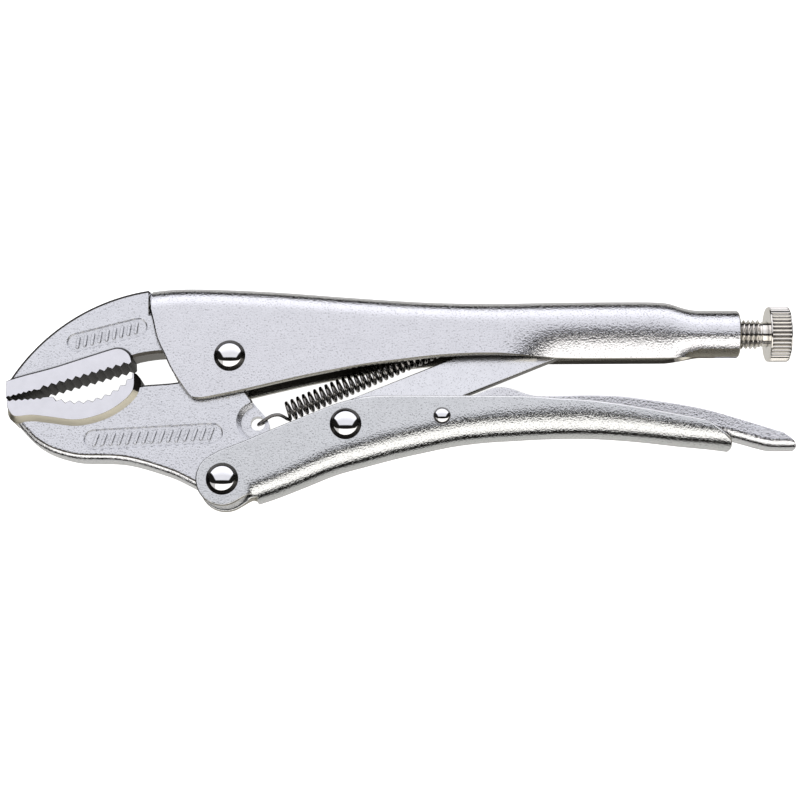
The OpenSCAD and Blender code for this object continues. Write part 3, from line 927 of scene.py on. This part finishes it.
def release_half(x):
    """(z, y) from the free edge to the middle of the web."""
    half = RELEASE_HALF - RELEASE_SHEET / 2
    section = channel_half(-release_top(x), -release_web(x) - RELEASE_SHEET / 2, half - release_spread(x),
                           half, 2.4, lean=1)
    return [(z, -y) for z, y in evened(section)]


def make_release_lever():
    columns = channel_columns(release_half, spaced(RELEASE_START, RELEASE_END, 1.2), RELEASE_END,
                              RELEASE_REACH, RELEASE_RUN_OUT)
    lever = folded_sheet("release_lever_sheet", columns, RELEASE_SHEET, LEVER, rim=0.4, rim_steps=3,
                         clamp=True)
    return drilled(lever, RELEASE_PIVOT, 1.75)


# --- rivets --------------------------------------------------------------------------------------

CAP_SLOPE = 34
CAP_STEPS = 14
CONE_SLOPE = 46.5
# Radii of the cap and of the cone's two rings, as shares of the head's
CAP_SHARE = 0.76
CONE_SHARES = (0.79, 0.94)


def on_cone(spot, normal):
    return 0.5 < abs(normal.z) < 0.76


def rivet(name, node, shank, head, height, edge=RIVET_RING_SHADE):
    """A rivet with a domed head outside each wall. A dome is a cap that falls away in a steep cone to its
    rim. The cone takes the edge colour, a painted shade."""
    cap_r = CAP_SHARE * head / sin(radians(CAP_SLOPE))
    dome = [(max(cap_r * sin(radians(a)), 0.03), height - cap_r * (1 - cos(radians(a))))
            for a in (CAP_SLOPE * i / CAP_STEPS for i in range(CAP_STEPS + 1))]
    cap_edge = dome[-1][1]
    for r in CONE_SHARES:
        dome.append((r * head, cap_edge - (r - CAP_SHARE) * head * tan(radians(CONE_SLOPE))))
    dome += [(head, dome[-1][1] - 0.07 * head), (head, 0)]
    half = [(r, OUTER + h) for r, h in dome] + [(shank, OUTER - 0.01)]
    stations = [(r, -z) for r, z in half] + half[::-1]
    at = pivot(node)
    obj = lofted(name, [[(*p, z) for p in arc(at, r, 0, 357.5, 143)] for r, z in stations], CHROME)
    return faced(obj, edge, on_cone)


# --- toggle link and spring anchor ---------------------------------------------------------------

LINK_NOSE = Vector((60.5, 23.2))
LINK_NOSE_R = 4.5
LINK_HALF = 6.35
LINK_HALF_THICKNESS = 2.35
LINK_TURN = 22.2
LINK_HUB_R = 5.8
ANCHOR_HOLE = (22.8, 23.7)


def link_outline():
    way = heading(LINK_TURN)
    side = Vector((-way.y, way.x))
    front = LINK_PIVOT + 1.55 * side
    return (arc(front, LINK_HALF, LINK_TURN + 90, LINK_TURN + 270, 30) + [front + 78 * way - LINK_HALF * side]
            + arc(LINK_NOSE, LINK_NOSE_R, -62, 100, 24) + [front + 66 * way + LINK_HALF * side])


def under_link(spot, normal):
    return normal.y < -0.5


def make_toggle_link():
    link = plate("toggle_link_bar", link_outline(), -LINK_HALF_THICKNESS, LINK_HALF_THICKNESS, LINK_FINISH)
    rounded(link, 0.4, 3)
    cut(link, disc(LINK_PIVOT, LINK_HUB_R, -JAW, JAW, 64), "UNION")
    drilled(link, LINK_PIVOT, RIVET_HOLE_R)
    rounded(link, 0.15, 2)
    return faced(link, SHADED, under_link)


def make_spring_anchor():
    top = crown_at(ANCHOR_HOLE[0]) - SHEET - 0.05
    outline = [(16, top), (30, top)] + arc(ANCHOR_HOLE, 3.4, -20, -160, 20)
    anchor = plate("spring_anchor_lug", outline, -1.25, 1.25, BLASTED)
    cut(anchor, disc(ANCHOR_HOLE, 1.8, -9, 9))
    return rounded(anchor, 0.2, 2)


# --- adjusting screw -----------------------------------------------------------------------------

PITCH = 1.5
THREAD_START, THREAD_END = 74, 116.5
CREST = last_corner("adjusting_screw").y - SCREW_Y
ROOT = CREST - 0.62 * PITCH
POINT_R = 3.6
NECK_R = 4
POINT_END = 73
KNOB_START, KNOB_END = first_corner("screw_head").x, last_corner("screw_head").x
KNOB_R = 8.9
RIDGES = 40


def thread(x):
    """The radius round a right-hand helical thread, at a place along the screw."""
    run_out = ease((x - THREAD_START) / 1.5) * ease((THREAD_END - x) / 1.0)

    def radius(a):
        turn = (x / PITCH + a / (2 * pi)) % 1
        rise = min(max(abs(turn - 0.5) * 2.5 - 0.12, 0), 1)
        return mix(ROOT, CREST, rise * run_out)

    return radius


def make_screw_point():
    stations = [(67.9, 2.4), (68.1, 2.6), (68.9, 3.4), (69.2, POINT_R), (POINT_END, POINT_R)]
    return turned("screw_point_tip", stations, NICKEL, 64)


def make_adjusting_screw():
    stations = ([(POINT_END, POINT_R), (THREAD_START - 0.1, POINT_R)]
                + [(x, thread(x)) for x in spaced(THREAD_START, THREAD_END, PITCH / 10)]
                + [(THREAD_END + 0.2, NECK_R), (KNOB_START, NECK_R)])
    return turned("adjusting_screw_thread", stations, NICKEL, 72)


def knurl(depth):
    def radius(a):
        turn = (a * RIDGES / (2 * pi)) % 1
        return KNOB_R - 0.05 - depth * (0.5 + 0.5 * cos(2 * pi * turn)) ** 1.1

    return radius


def make_screw_head():
    """The knob: a plain collar, a band of ridges and a rounded rim at each end."""
    rim, round_r = KNOB_R - 0.1, 0.35
    first = [(KNOB_START + round_r - round_r * cos(radians(a)), rim - round_r + round_r * sin(radians(a)))
             for a in range(0, 91, 15)]
    last = [(KNOB_END - round_r + round_r * sin(radians(a)), rim - round_r + round_r * cos(radians(a)))
            for a in range(0, 91, 15)]
    band = ((118.85, 0), (119, 0.6), (119.25, 0.8), (124.5, 0.8), (124.8, 0.6), (124.95, 0))
    ridged = [(x, knurl(depth)) for x, depth in band]
    stations = [(KNOB_START, 2)] + first + ridged + last + [(KNOB_END, 2)]
    return turned("screw_head_knob", stations, NICKEL, RIDGES * 10)


# --- spring --------------------------------------------------------------------------------------

TURNS = 27
COIL_PITCH = 1.98
COIL_R = 2.85
COIL_STEPS = 20
WIRE_R = 0.54
spring_way = heading(23.8).to_3d()
spring_side = Vector((-spring_way.y, spring_way.x, 0))
spring_start = Vector((-36.2, -2.3, 0))
# A hook beyond one end of the coil: distance out, height over the axis, distance from the middle plane
HOOK = [(0.9, -2.3, 1.6), (2.6, -0.5, 2.9), (5, 0.2, 3.2), (7.8, -0.1, 2.9), (9.4, -0.2, 1.6), (10, -0.1, 0),
        (9.7, 0.1, -1.6), (8.6, 0.4, -3), (7, 0.7, -3.2)]


def on_spring(u, v, w):
    """A point by its distances along the spring's axis, over it and from the middle plane."""
    return spring_start + u * spring_way + v * spring_side + Vector((0, 0, w))


def coil_point(i):
    angle = pi + 2 * pi * i / COIL_STEPS
    return on_spring(COIL_PITCH * i / COIL_STEPS, COIL_R * cos(angle), -COIL_R * sin(angle))


coil = [coil_point(i) for i in range(TURNS * COIL_STEPS + 1)]


def make_spring():
    front_hook = [on_spring(-p.x, p.y, p.z) for p in smooth(HOOK, 4)]
    rear_hook = [on_spring(TURNS * COIL_PITCH + p.x, p.y, p.z) for p in smooth(HOOK, 4)]
    return swept("tension_spring_wire", front_hook[::-1] + coil + rear_hook, WIRE_R, 12, WIRE)


# --- studio --------------------------------------------------------------------------------------

DARK = (0.008, 0.0075, 0.007)
COOL_NEAR = (0.592, 0.594, 0.63)
COOL_FAR = (0.86, 0.86, 0.915)
WARM = (1, 0.975, 0.945)
TABLE = (0.413, 0.407, 0.392)
# The colours of the two softboxes, by the angle from straight up in degrees, and the angle between them
COOL_STOPS = [(-7, DARK), (-3, COOL_NEAR), (20, COOL_NEAR), (45, COOL_FAR), (80, COOL_FAR), (85, DARK)]
WARM_STOPS = [(-76, DARK), (-71, WARM), (-28, WARM), (-24, DARK)]
DIVIDE = -12
# Angles along X at which the warm softbox starts, is no longer dim, and ends
WARM_START, WARM_BRIGHT, WARM_END = -74, -36, 84
# Angle above the horizon at which the table starts
TABLE_EDGE = -22


def studio():
    """A procedural studio to be mirrored in the metal. A direction is known by its angle from straight up,
    turned towards +Y, and by its angle along X. A cool softbox stands on the upper handle's side, widening
    away from the middle, and a warm one on the lower handle's side, its left part dimmer. Between them is a
    dark gap, round the horizon it is dark, and below it lies a pale table."""
    world = bpy.data.worlds.new("studio")
    bpy.context.scene.world = world
    world.use_nodes = True
    tree = world.node_tree
    nodes, links = tree.nodes, tree.links
    place = nodes.new("ShaderNodeTexCoord")
    split = nodes.new("ShaderNodeSeparateXYZ")
    links.new(place.outputs["Generated"], split.inputs["Vector"])

    def maths(operation, *values):
        node = nodes.new("ShaderNodeMath")
        node.operation = operation
        for socket, value in zip(node.inputs, values):
            if isinstance(value, (int, float)):
                socket.default_value = value
            else:
                links.new(value, socket)
        return node.outputs["Value"]

    def step(value, at, width=4):
        """Nothing below a place, one above it, rising evenly over a width."""
        rise = maths("MULTIPLY_ADD", maths("SUBTRACT", value, at), 1 / width, 0.5)
        return maths("MINIMUM", maths("MAXIMUM", rise, 0), 1)

    def degrees(operation, *values):
        return maths("MULTIPLY", maths(operation, *values), 180 / pi)

    around = degrees("ARCTAN2", split.outputs["Y"], split.outputs["Z"])
    along = degrees("ARCSINE", split.outputs["X"])
    height = degrees("ARCSINE", split.outputs["Z"])

    def softbox(start, end, stops):
        """A light between two angles, its colours by the angle from straight up."""
        ramp = nodes.new("ShaderNodeValToRGB")
        share = maths("MULTIPLY_ADD", around, 1 / (end - start), -start / (end - start))
        links.new(share, ramp.inputs["Fac"])
        elements = ramp.color_ramp.elements
        for element, (angle, color) in zip((elements[0], elements[1]), (stops[0], stops[-1])):
            element.position = (angle - start) / (end - start)
            element.color = (*color, 1)
        for angle, color in stops[1:-1]:
            elements.new((angle - start) / (end - start)).color = (*color, 1)
        return ramp.outputs["Color"]

    spread = maths("SQRT", maths("MAXIMUM", maths("ADD", around, 11), 0))
    reach = maths("MULTIPLY_ADD", spread, 3.4, 26)
    cool_part = step(maths("SUBTRACT", reach, maths("ABSOLUTE", along)), 0)
    brightness = maths("MULTIPLY_ADD", step(along, WARM_BRIGHT), 0.55, 0.45)
    left_end = step(along, WARM_START)
    right_end = step(maths("MULTIPLY", along, -1), -WARM_END)
    warm_part = maths("MULTIPLY", maths("MULTIPLY", brightness, left_end), right_end)
    cool_side = color_mix(tree, DARK, softbox(DIVIDE, 100, COOL_STOPS), cool_part)
    warm_side = color_mix(tree, DARK, softbox(-100, DIVIDE, WARM_STOPS), warm_part)
    boxes = color_mix(tree, warm_side, cool_side, step(around, DIVIDE, 1))
    surroundings = color_mix(tree, TABLE, boxes, step(height, TABLE_EDGE))
    links.new(surroundings, nodes["Background"].inputs["Color"])
    nodes["Background"].inputs["Strength"].default_value = 1.5


def pale(name, strength):
    """A white that shines a little, so that the paper stays white."""
    material = bpy.data.materials.new(name)
    material.use_nodes = True
    shader = material.node_tree.nodes["Principled BSDF"]
    shader.inputs["Base Color"].default_value = (0.8, 0.8, 0.8, 1)
    shader.inputs["Roughness"].default_value = 0.9
    shader.inputs["Specular IOR Level"].default_value = 0
    shader.inputs["Emission Color"].default_value = (1, 1, 1, 1)
    shader.inputs["Emission Strength"].default_value = strength
    return material


# Half width of the paper and its gap below the tool, in metres
PAPER_HALF = 3
PAPER_GAP = 0.0002


def sheet_of_paper():
    low, high = cad_bounds
    middle = (Vector(low) + Vector(high)) / 2
    corners = [(middle.x + PAPER_HALF * x, middle.y + PAPER_HALF * y, low[2] - PAPER_GAP)
               for x, y in ((-1, -1), (1, -1), (1, 1), (-1, 1))]
    mesh = bpy.data.meshes.new("floor")
    mesh.from_pydata(corners, [], [(0, 1, 2, 3)])
    mesh.materials.append(pale("floor", 0.95))
    obj = bpy.data.objects.new("floor", mesh)
    bpy.context.scene.collection.objects.link(obj)
    obj.visible_glossy = False


studio()
sheet_of_paper()

# --- which CAD part each piece stands for --------------------------------------------------------

PIECES = [
    (make_upper_jaw(), "frame", "upper_jaw", "forged_steel"),
    (make_upper_pad(), "frame", "upper_jaw", "forged_steel"),
    (make_lower_jaw(), "lower_jaw", "lower_jaw", "forged_steel"),
    (make_lower_pad(), "lower_jaw", "lower_jaw", "forged_steel"),
    (make_upper_handle(), "frame", "upper_handle", "blasted_sheet"),
    (make_lower_handle(), "lower_handle", "lower_handle", "blasted_sheet"),
    (make_release_lever(), "release_lever", "release_lever", "blasted_sheet"),
    (rivet("main_rivet_polished", "main_rivet", 3.25, 5, HEAD_H), "frame", "main_rivet", "bright_rivet"),
    (rivet("lever_rivet_polished", "lever_rivet", 3.25, 5.1, HEAD_H), "lower_handle", "lever_rivet",
     "bright_rivet"),
    (rivet("link_rivet_polished", "link_rivet", 3.25, 5, HEAD_H), "lower_handle", "link_rivet",
     "bright_rivet"),
    (rivet("release_rivet_polished", "release_rivet", 1.7, 2.8, SMALL_HEAD_H, SMALL_RING_SHADE), "lower_handle",
     "release_rivet", "bright_rivet"),
    (make_toggle_link(), "toggle_link", "toggle_link", "blasted_sheet"),
    (make_spring_anchor(), "frame", "spring_anchor", "blasted_sheet"),
    (make_screw_point(), "screw_point", "screw_point", "nickel"),
    (make_adjusting_screw(), "adjusting_screw", "adjusting_screw", "nickel"),
    (make_screw_head(), "adjusting_screw", "screw_head", "nickel"),
]
for obj, body, node, slot in PIECES:
    shaded(obj)
    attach(obj, body)
    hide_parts(node)

spring = shaded(make_spring(), 60)
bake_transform(spring)
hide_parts("tension_spring")
